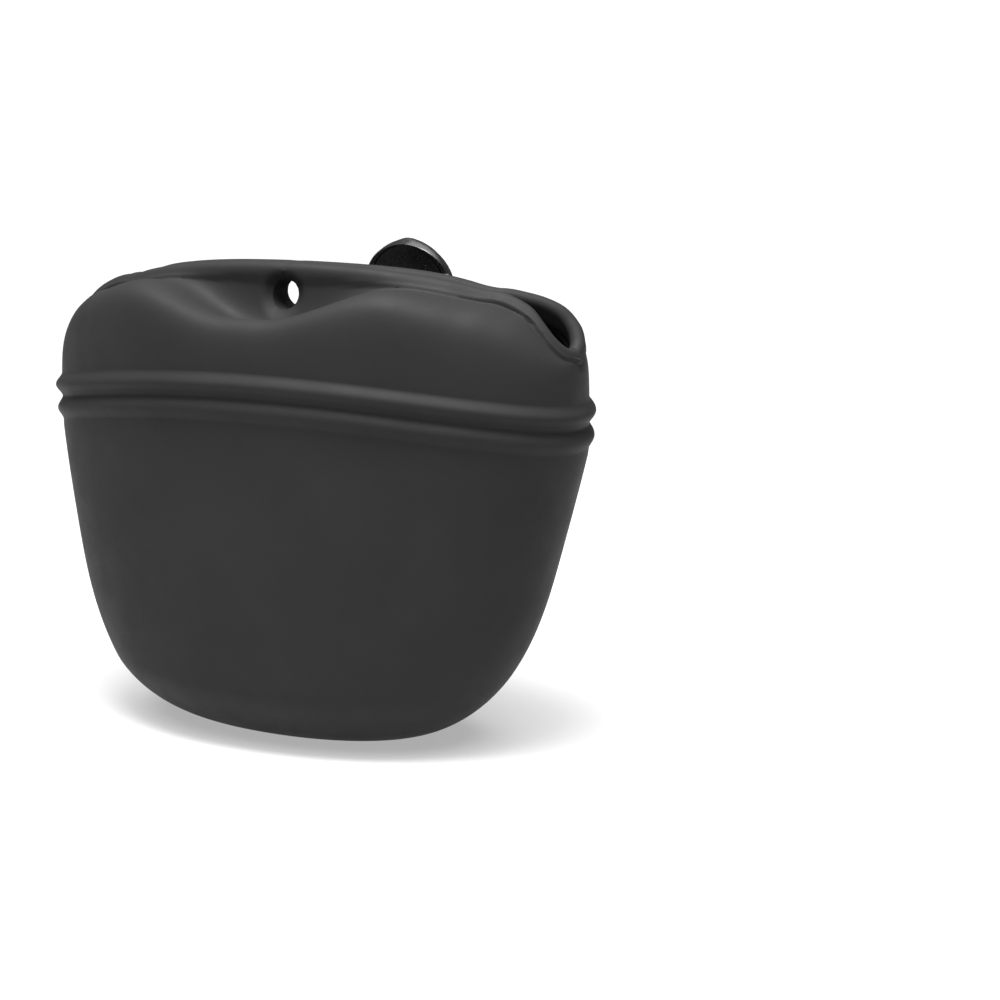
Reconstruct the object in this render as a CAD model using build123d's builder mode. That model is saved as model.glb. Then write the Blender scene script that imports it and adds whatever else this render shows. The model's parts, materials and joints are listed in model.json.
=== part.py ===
"""Belt-worn treat pouch: soft moulded cup, magnetic mouth and a spring belt clip.

Millimetres, +Z up, the front wall faces -Y and the clip is on the +Y side.
The origin is on the surface that the pouch stands on, below the middle of the ribs.
"""

import os

from build123d import *

# Pouch wall: (height, half width, half depth, middle) of its oval sections.
# The rear slopes inwards towards the base, so the middle moves to the front.
WALL_SECTIONS = (
    (0.0, 21.0, 12.6, -4.5),
    (1.2, 28.4, 15.8, -4.6),
    (3.0, 33.2, 18.5, -4.6),
    (5.5, 37.3, 21.2, -4.5),
    (9.0, 41.3, 24.2, -4.4),
    (13.0, 44.7, 26.1, -4.2),
    (18.0, 47.9, 27.0, -3.9),
    (25.0, 51.1, 27.7, -3.4),
    (34.0, 54.0, 28.4, -2.7),
    (45.0, 56.6, 29.0, -1.8),
    (57.0, 59.0, 29.4, -0.6),
    (67.0, 59.5, 29.5, -0.1),
    (74.0, 59.4, 29.4, 0.0),
    (79.0, 58.3, 28.8, 0.0),
    (83.5, 55.5, 27.1, 0.0),
    (87.5, 50.0, 23.9, 0.0),
    (90.6, 41.5, 19.4, 0.0),
    (92.8, 30.0, 13.6, 0.0),
)
WALL = 2.4                     # silicone wall thickness
FLOOR = 2.8                    # silicone floor thickness

# The two raised ribs, which arch upwards at the front and the rear
RIB_WIDTH = 119.2              # size over the wall at the ribs
RIB_DEPTH = 59.0
RIB_RADIUS = 2.45              # half of a rib's height
RIB_ROUND = 2.0
RIB_PROUD = 1.5
RIB_SIDE_Z = 65.1              # groove between the ribs, at the two sides
RIB_RISE = 7.4                 # how much higher it is at RIB_SPAN to the front and the rear
RIB_SPAN = 34.0
RIB_EDGE = 12.0                # edges longer than this run along a rib

# Mouth
MOUTH_HALF = 48.0              # half length of the pressed-together lips
MOUTH_BOW = 8.0                # the lips bow this far towards the front
LIP_HALF = 44.0                # half length of the thick lips
LIP_TOP = 95.8                 # lip edge at the centre
LIP_END = 89.8                 # lip edge at its two ends
LIP_SIDE = 2.0                 # height of the lips' two ends
LIP_FOOT_FRONT = 84.5          # underside of the thick front lip
LIP_FOOT_REAR = 79.0           # the rear lip reaches down to the lower rear scoop
LIP_FOOT_HALF = 30.0           # half length of the underside
LIP_WIDTH = 3.4                # thickness of each lip
LIP_GAP = 0.3                  # clearance between the lips, and under the front lip
LIP_SPLIT_Z = 77.5             # the front lip flexes above this height
SCOOP_DEPTH_Z = 85.8           # floor of the scoop in front of the lips
SCOOP_HALF = 36.0              # half length of that scoop
SCOOP_RIM_Z = 94.5
REAR_DROP = 4.0                # the rear scoop is lower and longer
REAR_HALF = 44.0
SCOOP_FLANK = 0.55             # share of the half length at which the dip is half as deep
HOLE_D = 6.0
HOLE_Z = 89.5

# Notches at the two ends of the mouth
NOTCH_BOTTOM = 81.0
NOTCH_WIDTH = 8.4
NOTCH_HEIGHT = 12.5
NOTCH_START = 45.0             # they begin this far from the middle
NOTCH_FLARE = (0.8, 0.6)       # direction in which the flank leaves the lowest point, as (y, z)
NOTCH_CLOSE = (-0.5, 1)        # direction in which it reaches the highest point

# Magnets sealed in the lips
MAGNET_D = 6.0
MAGNET_T = 2.0
MAGNET_X = 17.0
MAGNET_Z = 90.6

# Clip plate and the strap that holds it
PLATE_WIDTH = 21.0
PLATE_T = 2.2
PLATE_Y = 28.5                 # middle of the plate's thickness
PLATE_BOTTOM = 34.0
PLATE_TOP = 90.5
PLATE_CORNER = 9.0
STRAP_WIDTH = 30.0
STRAP_T = 2.0
STRAP_BOTTOM = 55.5
STRAP_TOP = 78.0
STRAP_ROUND = 1.6
STRAP_OVAL = 62.5              # half width of the oval that the strap's face follows
SLOT_CLEAR = 0.3
SLOT_BELOW = 4.0               # the plate's recess goes on this far below the plate

# Pivot pin and the ears that carry it
PIN_Y = 35.5
PIN_Z = 82.0
PIN_D = 3.0
PIN_HOLE_D = 3.1
HEAD_D = 4.6
HEAD_T = 1.2
HEAD_ROUND = 0.9
HEAD_GAP = 0.1
EAR_T = 2.0
EAR_X = 7.0                    # middle of each plate ear
EAR_R = 2.9
EAR_SLOPE = 2.0                # the ear's foot is this much taller than its eye

# Lever: outer and inner side outlines as (y, height), from the thumb pad downwards
LEVER_BACK = ((39.0, 97.5), (40.8, 90.0), (40.8, 81.0), (38.5, 55.0), (37.4, 42.0), (36.0, 34.5))
LEVER_FRONT = ((36.9, 96.4), (38.4, 90.0), (38.4, 81.0), (36.1, 55.0), (35.0, 42.0))
LEVER_WIDTH = 21.6
LEVER_TOP = LEVER_BACK[0][1]
LEVER_BOTTOM = 32.5
HOOK_LOW = 1.0                 # the hook's face lies between these heights above the bottom
HOOK_HIGH = 3.2
HOOK_TURN = (34.0, 32.5)       # outer and inner side of the bend above the hook's face
HOOK_THROAT = (33.4, 37.0)
TIP_GAP = 0.15                 # the closed hook just clears the plate
PAD_LOW = 84.0                 # the pad rounds off above this height
PAD_SHOULDER = (9.1, 93.0)
BODY_TOP = 76.0                # the lever gets narrower below this height
BODY_MIDDLE = (9.2, 60.0)
BODY_END = (7.5, 42.0)
BODY_ROUND = 38.0              # the lower end rounds off below this height
CHEEK_T = 1.8
CHEEK_R = 4.6
CHEEK_ROOT = ((39.4, 90.0), (39.2, 72.0), (37.4, 66.0))

# Torsion spring
SPRING_WIRE = 0.9
SPRING_COIL_R = 2.3
SPRING_PITCH = 1.15
SPRING_TURNS = 4.5
SPRING_LEG = 7.5
LEG_OVERLAP = 0.2              # the legs start this far back inside the coil

# Reach of the cutting shapes beyond the pouch
FAR_X = 90.0
FAR_Y = 80.0
SKY = 110.0

PLATE_FRONT = PLATE_Y - PLATE_T / 2
PLATE_BACK = PLATE_Y + PLATE_T / 2
HALF_SLOT = PLATE_WIDTH / 2 + SLOT_CLEAR
HALF_STRAP = STRAP_WIDTH / 2
STRAP_FACE = PLATE_BACK + SLOT_CLEAR + STRAP_T


def wall_ovals(inset, lift):
    """The sections of the wall moved inwards by the inset, the first one lifted."""
    ovals = []
    top = WALL_SECTIONS[-1][0]
    for z, half_width, half_depth, middle in WALL_SECTIONS:
        height = lift + z * (1 - lift / top)
        with BuildSketch(Plane.XY.offset(height)) as section:
            with Locations((0, middle)):
                Ellipse(half_width - inset, half_depth - inset)
        ovals.append(section.sketch)
    return ovals


def mouth_side(side, shift):
    """Plan outline of everything on one side of the mouth line (-1 front, +1 rear)."""
    far = side * FAR_Y
    with BuildSketch(Plane.XY.offset(LIP_SPLIT_Z)) as sketch:
        with BuildLine():
            Line((-FAR_X, shift), (-MOUTH_HALF, shift))
            ThreePointArc((-MOUTH_HALF, shift), (0, shift - MOUTH_BOW), (MOUTH_HALF, shift))
            Line((MOUTH_HALF, shift), (FAR_X, shift))
            Polyline((FAR_X, shift), (FAR_X, far), (-FAR_X, far), (-FAR_X, shift))
        make_face()
    return sketch.sketch


def scoop_outline(side, depth):
    """The smooth dip between the humps of one side, lowered by the depth."""
    drop = depth + (REAR_DROP if side > 0 else 0)
    half = REAR_HALF if side > 0 else SCOOP_HALF
    rim = SCOOP_RIM_Z - drop
    floor = SCOOP_DEPTH_Z - drop
    flank = (rim + floor) / 2
    flank_x = half * SCOOP_FLANK
    with BuildSketch(Plane.XZ) as sketch:
        with BuildLine():
            Spline((-half, rim), (-flank_x, flank), (0, floor), (flank_x, flank), (half, rim))
            Polyline((half, rim), (half, SKY), (-half, SKY), (-half, rim))
        make_face()
    return sketch.sketch


def lip_outline(foot):
    """One lip seen from the front, with its arched edge and the height of its underside."""
    side = LIP_END - LIP_SIDE
    with BuildSketch(Plane.XZ) as sketch:
        with BuildLine():
            ThreePointArc((-LIP_HALF, LIP_END), (0, LIP_TOP), (LIP_HALF, LIP_END))
            Polyline(
                (LIP_HALF, LIP_END),
                (LIP_HALF, side),
                (LIP_FOOT_HALF, foot),
                (-LIP_FOOT_HALF, foot),
                (-LIP_HALF, side),
                (-LIP_HALF, LIP_END),
            )
        make_face()
    return sketch.sketch


def rib_band(level):
    """Side view of one rib, which rises towards the front and the rear."""
    low = RIB_SIDE_Z + level - RIB_RADIUS
    high = RIB_SIDE_Z + level + RIB_RADIUS
    span = RIB_SPAN
    rise = RIB_RISE
    with BuildSketch(Plane.YZ) as sketch:
        with BuildLine():
            ThreePointArc((-span, low + rise), (0, low), (span, low + rise))
            Line((span, low + rise), (span, high + rise))
            ThreePointArc((span, high + rise), (0, high), (-span, high + rise))
            Line((-span, high + rise), (-span, low + rise))
        make_face()
    return sketch.sketch


def rib(level):
    """One solid rib with rounded edges."""
    with BuildPart() as solid:
        with BuildSketch(Plane.XY.offset(STRAP_BOTTOM)):
            Ellipse(RIB_DEPTH / 2 + RIB_PROUD, RIB_WIDTH / 2 + RIB_PROUD, rotation=90)
        extrude(amount=SKY - STRAP_BOTTOM)
        extrude(to_extrude=rib_band(level), amount=FAR_X, both=True, mode=Mode.INTERSECT)
        long_edges = [edge for edge in solid.edges() if edge.length > RIB_EDGE]
        fillet(long_edges, radius=RIB_ROUND)
    return solid.part


def box_between(low, high, mode=Mode.ADD):
    """A box given by two opposite corners."""
    size = [top - bottom for bottom, top in zip(low, high)]
    centre = [(top + bottom) / 2 for bottom, top in zip(low, high)]
    with Locations(tuple(centre)):
        Box(size[0], size[1], size[2], mode=mode)


def scoop(side):
    """Everything cut away outside the lips on one side, down to the dip."""
    with BuildPart() as cut:
        extrude(to_extrude=scoop_outline(side, 0), amount=FAR_Y, both=True)
        outside = mouth_side(side, side * (LIP_WIDTH + LIP_GAP / 2))
        extrude(to_extrude=outside, amount=SKY - LIP_SPLIT_Z, mode=Mode.INTERSECT)
    return cut.part


def front_half(shift, lift):
    """The part of space in front of the mouth line and above the split."""
    with BuildPart() as region:
        extrude(to_extrude=mouth_side(-1, shift), amount=SKY - LIP_SPLIT_Z)
        box_between((-FAR_X, -FAR_Y, 0), (FAR_X, FAR_Y, LIP_SPLIT_Z + lift), Mode.SUBTRACT)
    return region.part


def magnet_plane(side, x):
    """Plane of a magnet inside one lip, following the bow of the mouth."""
    middle = MOUTH_BOW * ((x / MOUTH_HALF) ** 2 - 1)
    slope = 2 * MOUTH_BOW * x / MOUTH_HALF**2
    y = middle + side * (LIP_GAP / 2 + LIP_WIDTH / 2)
    return Plane(origin=(x, y, MAGNET_Z), z_dir=(-slope, 1, 0))


def magnet(side, x):
    """A disc magnet, flat against the lip's bow."""
    with BuildPart() as disc:
        with Locations(magnet_plane(side, x).location):
            Cylinder(MAGNET_D / 2, MAGNET_T)
    return disc.part


def magnets(side):
    """The two magnets of one lip, left and right."""
    return [magnet(side, -MAGNET_X), magnet(side, MAGNET_X)]


# ---------------------------------------------------------------- shapes of the moulding
with BuildPart() as cavity:
    loft(sections=wall_ovals(WALL, FLOOR))
    for side in (-1, 1):
        extrude(to_extrude=scoop_outline(side, WALL), amount=-side * FAR_Y, mode=Mode.SUBTRACT)
    backing = PLATE_FRONT - SLOT_CLEAR - WALL
    box_between((-HALF_STRAP, backing, 0), (HALF_STRAP, FAR_Y, SKY), Mode.SUBTRACT)

lips = []
for side, lip_foot in ((-1, LIP_FOOT_FRONT), (1, LIP_FOOT_REAR)):
    with BuildPart() as lip:
        lip_reach = side * (LIP_WIDTH + LIP_GAP / 2)
        extrude(to_extrude=lip_outline(lip_foot), amount=FAR_Y, both=True)
        extrude(to_extrude=mouth_side(side, 0), amount=SKY - LIP_SPLIT_Z, mode=Mode.INTERSECT)
        extrude(to_extrude=mouth_side(-side, lip_reach), amount=SKY - LIP_SPLIT_Z, mode=Mode.INTERSECT)
    lips.append(lip.part)

with BuildPart() as strap:
    with BuildSketch(Plane.XY.offset(STRAP_BOTTOM)):
        Ellipse(STRAP_OVAL, STRAP_FACE)
    extrude(amount=STRAP_TOP - STRAP_BOTTOM)
    box_between((-HALF_STRAP, PLATE_FRONT - WALL, 0), (HALF_STRAP, FAR_Y, SKY), Mode.INTERSECT)
    corners = strap.edges().filter_by(Axis.Z).sort_by(Axis.Y)[-2:]
    fillet(corners, radius=STRAP_ROUND)

with BuildPart() as notches:
    half_notch = NOTCH_WIDTH / 2
    flare_y, flare_z = NOTCH_FLARE
    close_y, close_z = NOTCH_CLOSE
    notch_middle = NOTCH_BOTTOM + NOTCH_HEIGHT / 2
    notch_top = NOTCH_BOTTOM + NOTCH_HEIGHT
    with BuildSketch(Plane.YZ):
        with BuildLine():
            Spline(
                (0, NOTCH_BOTTOM),
                (half_notch, notch_middle),
                (0, notch_top),
                tangents=(NOTCH_FLARE, NOTCH_CLOSE),
            )
            Spline(
                (0, notch_top),
                (-half_notch, notch_middle),
                (0, NOTCH_BOTTOM),
                tangents=((close_y, -close_z), (flare_y, -flare_z)),
            )
        make_face()
    extrude(amount=FAR_X, both=True)
    box_between((-NOTCH_START, -FAR_Y, 0), (NOTCH_START, FAR_Y, SKY), Mode.SUBTRACT)

with BuildPart() as moulding:
    loft(sections=wall_ovals(0, 0))
    for level in (-RIB_RADIUS, RIB_RADIUS):
        add(rib(level))
    add(strap.part)
    add(cavity.part, mode=Mode.SUBTRACT)
    add(scoop(-1), mode=Mode.SUBTRACT)
    add(scoop(1), mode=Mode.SUBTRACT)
    add(lips)
    add(notches.part, mode=Mode.SUBTRACT)
    with Locations(Location((0, -MOUTH_BOW, HOLE_Z), (90, 0, 0))):
        Cylinder(HOLE_D / 2, FAR_Y / 2, mode=Mode.SUBTRACT)
    slot_front = PLATE_FRONT - SLOT_CLEAR
    slot_back = PLATE_BACK + SLOT_CLEAR
    slot_bottom = PLATE_BOTTOM - SLOT_BELOW
    box_between((-HALF_SLOT, slot_front, slot_bottom), (HALF_SLOT, slot_back, SKY), Mode.SUBTRACT)
    box_between((-HALF_SLOT, slot_front, slot_bottom), (HALF_SLOT, FAR_Y, STRAP_BOTTOM), Mode.SUBTRACT)
    box_between((-HALF_SLOT, slot_front, STRAP_TOP), (HALF_SLOT, FAR_Y, SKY), Mode.SUBTRACT)

# ---------------------------------------------------------------- lip magnets
front_magnets = magnets(-1)
rear_magnets = magnets(1)

# ---------------------------------------------------------------- cup with its rear lip
with BuildPart() as cup_body:
    add(moulding.part)
    add(front_half(LIP_GAP / 2, 0), mode=Mode.SUBTRACT)
    add(rear_magnets, mode=Mode.SUBTRACT)

# ---------------------------------------------------------------- flexing front lip
with BuildPart() as front_lip:
    add(moulding.part)
    add(front_half(-LIP_GAP / 2, LIP_GAP), mode=Mode.INTERSECT)
    add(front_magnets, mode=Mode.SUBTRACT)

# ---------------------------------------------------------------- clip back plate
with BuildPart() as clip_back_plate:
    with BuildSketch(Plane.XZ.offset(-PLATE_BACK)):
        with Locations((0, (PLATE_TOP + PLATE_BOTTOM) / 2)):
            RectangleRounded(PLATE_WIDTH, PLATE_TOP - PLATE_BOTTOM, PLATE_CORNER)
    extrude(amount=PLATE_T)
    for ear_x in (-EAR_X, EAR_X):
        with BuildSketch(Plane.YZ.offset(ear_x - EAR_T / 2)):
            with Locations((PIN_Y, PIN_Z)):
                Circle(EAR_R)
            with BuildLine():
                foot_y = PLATE_BACK - LEG_OVERLAP
                Polyline(
                    (PIN_Y, PIN_Z + EAR_R),
                    (foot_y, PIN_Z + EAR_R + EAR_SLOPE),
                    (foot_y, STRAP_TOP + 2 * SLOT_CLEAR),
                    (PIN_Y, PIN_Z - EAR_R),
                    close=True,
                )
            make_face()
        extrude(amount=EAR_T)
    with Locations(Location((0, PIN_Y, PIN_Z), (0, 90, 0))):
        Cylinder(PIN_HOLE_D / 2, LEVER_WIDTH, mode=Mode.SUBTRACT)

# ---------------------------------------------------------------- clip lever
with BuildPart() as clip_lever:
    with BuildSketch(Plane.YZ):
        with BuildLine():
            hook_y = PLATE_BACK + TIP_GAP
            hook_low = (hook_y, LEVER_BOTTOM + HOOK_LOW)
            hook_high = (hook_y, LEVER_BOTTOM + HOOK_HIGH)
            Spline(*LEVER_BACK)
            Spline(LEVER_BACK[-1], HOOK_TURN, hook_low)
            Line(hook_low, hook_high)
            Spline(hook_high, HOOK_THROAT, LEVER_FRONT[-1])
            Spline(*LEVER_FRONT[::-1])
            Line(LEVER_FRONT[0], LEVER_BACK[0])
        make_face()
    extrude(amount=LEVER_WIDTH, both=True)
    for side_x in (-1, 1):
        cheek_start = side_x * (LEVER_WIDTH - CHEEK_T) / 2 - CHEEK_T / 2
        with BuildSketch(Plane.YZ.offset(cheek_start)):
            with Locations((PIN_Y, PIN_Z)):
                Circle(CHEEK_R)
            with BuildLine():
                Polyline((PIN_Y, PIN_Z + CHEEK_R), *CHEEK_ROOT, (PIN_Y, PIN_Z - CHEEK_R), close=True)
            make_face()
        extrude(amount=CHEEK_T)
    with BuildSketch(Plane.XZ):
        with BuildLine():
            half_top = LEVER_WIDTH / 2
            pad_x, pad_z = PAD_SHOULDER
            end_x, end_z = BODY_END
            Spline(
                (-half_top, PAD_LOW),
                (-pad_x, pad_z),
                (0, LEVER_TOP),
                (pad_x, pad_z),
                (half_top, PAD_LOW),
                tangents=((0, 1), (0, -1)),
            )
            Line((half_top, PAD_LOW), (half_top, BODY_TOP))
            Spline((half_top, BODY_TOP), BODY_MIDDLE, BODY_END)
            Line(BODY_END, (end_x, BODY_ROUND))
            ThreePointArc((end_x, BODY_ROUND), (0, LEVER_BOTTOM), (-end_x, BODY_ROUND))
            Line((-end_x, BODY_ROUND), (-end_x, end_z))
            Spline((-end_x, end_z), (-BODY_MIDDLE[0], BODY_MIDDLE[1]), (-half_top, BODY_TOP))
            Line((-half_top, BODY_TOP), (-half_top, PAD_LOW))
        make_face()
    extrude(amount=FAR_Y, both=True, mode=Mode.INTERSECT)
    with Locations(Location((0, PIN_Y, PIN_Z), (0, 90, 0))):
        Cylinder(PIN_HOLE_D / 2, 2 * LEVER_WIDTH, mode=Mode.SUBTRACT)

# ---------------------------------------------------------------- hinge pin
with BuildPart() as clip_hinge_pin:
    head_start = LEVER_WIDTH / 2 + HEAD_GAP
    with BuildSketch(Plane.YZ):
        with Locations((PIN_Y, PIN_Z)):
            Circle(PIN_D / 2)
    extrude(amount=head_start, both=True)
    for side_x in (-1, 1):
        with Locations(Location((side_x * (head_start + HEAD_T / 2), PIN_Y, PIN_Z), (0, 90, 0))):
            Cylinder(HEAD_D / 2, HEAD_T)
    for end in (Axis.X, -Axis.X):
        rim = clip_hinge_pin.faces().sort_by(end)[-1].edges()
        fillet(rim, radius=HEAD_ROUND)

# ---------------------------------------------------------------- torsion spring
# a helix round the pin whose two ends both point upwards
coil_length = SPRING_PITCH * SPRING_TURNS
coil_start = (-coil_length / 2, PIN_Y, PIN_Z)
coil = Helix(SPRING_PITCH, coil_length, SPRING_COIL_R, center=coil_start, direction=(1, 0, 0))
coil = coil.rotate(Axis((0, PIN_Y, PIN_Z), (1, 0, 0)), 90)
with BuildPart() as clip_spring:
    with BuildSketch(Plane(origin=coil @ 0, z_dir=coil % 0)) as wire_section:
        Circle(SPRING_WIRE / 2)
    sweep(sections=wire_section.sketch, path=coil, is_frenet=True)
    for end, way in ((coil @ 0, -(coil % 0)), (coil @ 1, coil % 1)):
        with BuildSketch(Plane(origin=end - way * LEG_OVERLAP, z_dir=way)):
            Circle(SPRING_WIRE / 2)
        extrude(amount=SPRING_LEG)

# ---------------------------------------------------------------- files
os.makedirs("parts", exist_ok=True)
PARTS = {
    "cup_body": cup_body.part,
    "front_lip": front_lip.part,
    "clip_back_plate": clip_back_plate.part,
    "clip_lever": clip_lever.part,
    "clip_hinge_pin": clip_hinge_pin.part,
    "clip_spring": clip_spring.part,
    "magnet_front_left": front_magnets[0],
    "magnet_front_right": front_magnets[1],
    "magnet_rear_left": rear_magnets[0],
    "magnet_rear_right": rear_magnets[1],
}
for part_name, part in PARTS.items():
    part.label = part_name
    export_step(part, f"parts/{part_name}.step")
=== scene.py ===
"""Looks of the belt-worn treat pouch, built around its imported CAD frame.

Shapes are worked out in millimetres and turned into metres when a mesh is made.
The front wall faces -Y, the clip is on the +Y side, +Z is up.
"""

import json
from math import cos, pi, radians, sin

import bmesh
import bpy
import numpy as np
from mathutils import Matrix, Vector


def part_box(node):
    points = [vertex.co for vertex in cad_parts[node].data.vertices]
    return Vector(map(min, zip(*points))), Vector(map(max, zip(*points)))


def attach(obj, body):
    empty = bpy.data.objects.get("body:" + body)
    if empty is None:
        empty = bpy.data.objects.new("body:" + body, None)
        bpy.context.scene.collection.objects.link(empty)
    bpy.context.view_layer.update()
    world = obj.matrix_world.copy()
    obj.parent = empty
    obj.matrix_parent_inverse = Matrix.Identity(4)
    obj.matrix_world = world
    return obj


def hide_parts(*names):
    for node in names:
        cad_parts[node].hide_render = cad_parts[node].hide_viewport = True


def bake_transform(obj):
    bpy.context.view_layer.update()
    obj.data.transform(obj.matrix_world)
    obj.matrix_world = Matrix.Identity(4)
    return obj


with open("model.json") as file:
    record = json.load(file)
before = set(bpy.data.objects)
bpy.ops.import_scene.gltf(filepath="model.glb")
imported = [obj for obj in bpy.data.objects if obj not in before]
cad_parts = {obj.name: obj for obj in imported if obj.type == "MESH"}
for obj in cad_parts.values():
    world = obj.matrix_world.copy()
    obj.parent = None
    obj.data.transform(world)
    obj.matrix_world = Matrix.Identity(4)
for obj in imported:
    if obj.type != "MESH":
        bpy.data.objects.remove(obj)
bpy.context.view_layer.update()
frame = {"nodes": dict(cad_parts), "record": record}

MM = 0.001


def node_box(*nodes):
    """Lowest and highest corner of some nodes together, in millimetres."""
    corners = np.array([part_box(node) for node in nodes]) / MM
    return corners[:, 0].min(axis=0), corners[:, 1].max(axis=0)


# ------------------------------------------------------------------ sizes from the frame
cup_high = node_box("cup_body")[1]
pin_low, pin_high = node_box("clip_hinge_pin")
plate_low, plate_high = node_box("clip_back_plate")
mounts = {mount["name"]: mount for mount in frame["record"]["mounts"]}
hole_mount = mounts["hanging_hole"]

# Wall, in plan a fuller shape than an ellipse
RIB_PROUD = 1.5
HALF_X = cup_high[0] - RIB_PROUD
HALF_Y = 29.4
PLAN_POWER = 0.952
WALL = 2.4
FLOOR = 2.8
TAPER_Z = 60.0                 # the wall narrows below this height
TAPER_X, TAPER_X_POWER = 0.248, 1.07
TAPER_Y, TAPER_Y_POWER = 0.148, 1.6
SIDE_Z, SIDE_POWER = 37.6, 2.83    # rounding of the bottom at the two sides
FRONT_Z, FRONT_POWER = 13.0, 1.55  # and at the front and the rear
BASE_X = 0.32                  # the flat base, as a share of the full width
BASE_Y = 0.38                  # and of the full depth
LEAN = 5.0                     # the base lies this far in front of the ribs' middle
LEAN_POWER = 1.3

# Twin ribs
GROOVE_Z = 65.1                # groove between the ribs at the two sides
GROOVE_ARCH = 5.9              # how much higher it is at the front and the rear
RIB_HALF = 2.45
CREASE = 2 * RIB_HALF
RIB_ROUNDNESS = 0.8            # below 1 makes a rib fuller than a cosine
RIB_LOWER, RIB_UPPER = 0.72, 0.90  # the two ribs' heights, as shares of RIB_PROUD

# Mouth
LIP_TOP = cup_high[2]
LIP_DROP = 3.0                 # fall of the lips' edge at EDGE_HALF: a parabola
LIP_DROP_END = 3.2             # plus a steeper part near the ends
EDGE_HALF = 46.0
LIP_HALF = 42.0                # the lips are pressed together this far out
LIP_THICK = 3.3
LIP_GAP = 0.12                 # half the gap between the pressed lips
MOUTH_BOW = 8.0
MOUTH_HALF = 48.0
LIP_MEET_Z = 82.0              # above this height the inside is kept clear of the mouth line
LIP_PRESS = (8.5, 12.5)        # the lips' inner faces leave the mouth line between these depths
LIP_PRESS_END = (6.0, 1.0)     # and between these distances inside LIP_HALF
NOTCH_X = 57.3
NOTCH_BLEND = 4.0              # the lips turn into the notch's rim this far to either side of LIP_HALF
# Middle of the rim round a notch: share of the way to the notch's bottom, distance from the middle,
# offset from the mouth line and height
NOTCH_FRONT = (
    (0, 42.0, -3.5, 90.9),
    (0.25, 46.6, -2.9, 89.3),
    (0.45, 50.2, -2.9, 87.2),
    (0.6, 52.5, -3.3, 84.6),
    (0.75, 54.6, -3.1, 81.8),
    (0.88, 56.3, -1.9, 79.8),
    (1, 57.3, 0.3, 79.1),
)
NOTCH_REAR = (
    (0, 42.0, -0.2, 90.9),
    (0.2, 46.0, 1.3, 89.9),
    (0.4, 50.0, 3.1, 88.6),
    (0.55, 52.8, 4.0, 87.1),
    (0.7, 55.0, 4.2, 84.9),
    (0.82, 56.5, 3.5, 82.8),
    (0.92, 57.3, 2.1, 80.6),
    (1, 57.3, 0.3, 79.1),
)
THICKENING = (0.55, 0.85)      # the wall grows to the lip's thickness over this share of the shoulder
FUNNEL = 2.8                   # the notch's rear wall slopes this far forwards below the rim
FUNNEL_NEAR, FUNNEL_FAR = (0.5, 6.0), (8.0, 15.0)  # depths over which the slope comes and goes
RIM_THICK = 2.2
RIM_THIN = (34.0, 46.0)        # the lip's thickness goes over to the rim's between these distances
RIM_TURN = (38.0, 55.0)        # and its cross direction from straight across to square with the wall
BEAD = 0.45                    # how proud the rolled rim is along the lips
BEAD_NOTCH = 0.35              # and how much more round the notches
BEAD_NOTCH_END = 6.0           # it is that much more from this far beyond LIP_HALF
BEAD_WIDTH = 2.0
BEAD_FULL = 0.72               # share of its width over which the rolled rim has its full height

# Shoulder between the upper rib and the mouth: a scoop in the middle, a hump at each side of it and
# a rounded end. Each fades in or out between two distances from the middle.
SCOOP_FRONT_FADE = (3.0, 29.0)
SCOOP_REAR_FADE = (12.0, 38.0)
END_FADE = (26.0, 56.0)
SHOULDER_WIDTH = 12.0          # the profiles are as wide as this where the shoulder is narrower
# Control points of the profiles: how far in they lie, in millimetres from the foot and then from the
# edge (as shares of the width for the rounded end), and their heights at the front and at the rear
SCOOP_IN = ((0, -0.2, 0, 2.6, 7.7), (5.2, 2.0, 0.3, 0))
HUMP_IN = ((0, -0.2, -0.1, 1.8, 6.2, 10.9), (2.8, 0.7, 0))
END_IN = (0, 0.02, 0.08, 0.22, 0.42, 0.62, 0.80, 0.92, 1)
SCOOP_UP = (
    (0, 0.18, 0.41, 0.57, 0.53, 0.38, 0.42, 0.76, 1),
    (0, 0.10, 0.20, 0.24, 0.20, 0.12, 0.20, 0.66, 1),
)
HUMP_UP = (
    (0, 0.25, 0.62, 0.89, 0.97, 0.95, 0.90, 0.93, 1),
    (0, 0.24, 0.56, 0.76, 0.82, 0.80, 0.77, 0.86, 1),
)
END_UP = (
    (0, 0.26, 0.52, 0.72, 0.84, 0.89, 0.91, 0.91, 1),
    (0, 0.24, 0.46, 0.62, 0.73, 0.80, 0.85, 0.90, 1),
)

# Hanging hole
HOLE_R = hole_mount["dims"]["r_mm"]
HOLE_Z = hole_mount["pos_m"][2] / MM
BORE_HALF = 12.0               # half length of its cutter
DIMPLE_R = 5.2
DIMPLE_DEPTH = 1.2
DIMPLE_FLAT = 0.4              # the dimple is at its deepest from this far inside the hole's edge
DIMPLE_REACH = 5.5             # only faces this close to the mouth line are dimpled

# Strap that holds the clip plate
PLATE_FRONT, PLATE_BACK = 27.4, 29.6
SLOT_CLEAR = 0.3
STRAP_T = 2.0
STRAP_LOW, STRAP_HIGH = 55.5, 78.0
STRAP_FADE_BELOW = (9.0, 1.0)  # distances below and above the strap over which it swells out
STRAP_FADE_ABOVE = (1.0, 3.0)
SLOT_HALF = 10.8
SLOT_EDGE = 0.8                # width of strap at full height beside the slot
SLOT_BELOW = 4.0               # the recess goes on this far below the clip plate
STRAP_SHOULDER = 19.0
REAR_Y = 15.0                  # everything behind this belongs to the rear wall
BACKING_WIDE = (12.0, 22.0)    # the wall behind the plate steps back between these distances
BACKING_STEP = 6.0
BEYOND_Y, BEYOND_Z = 60.0, 110.0   # reach of the cutters outside the pouch

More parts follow.
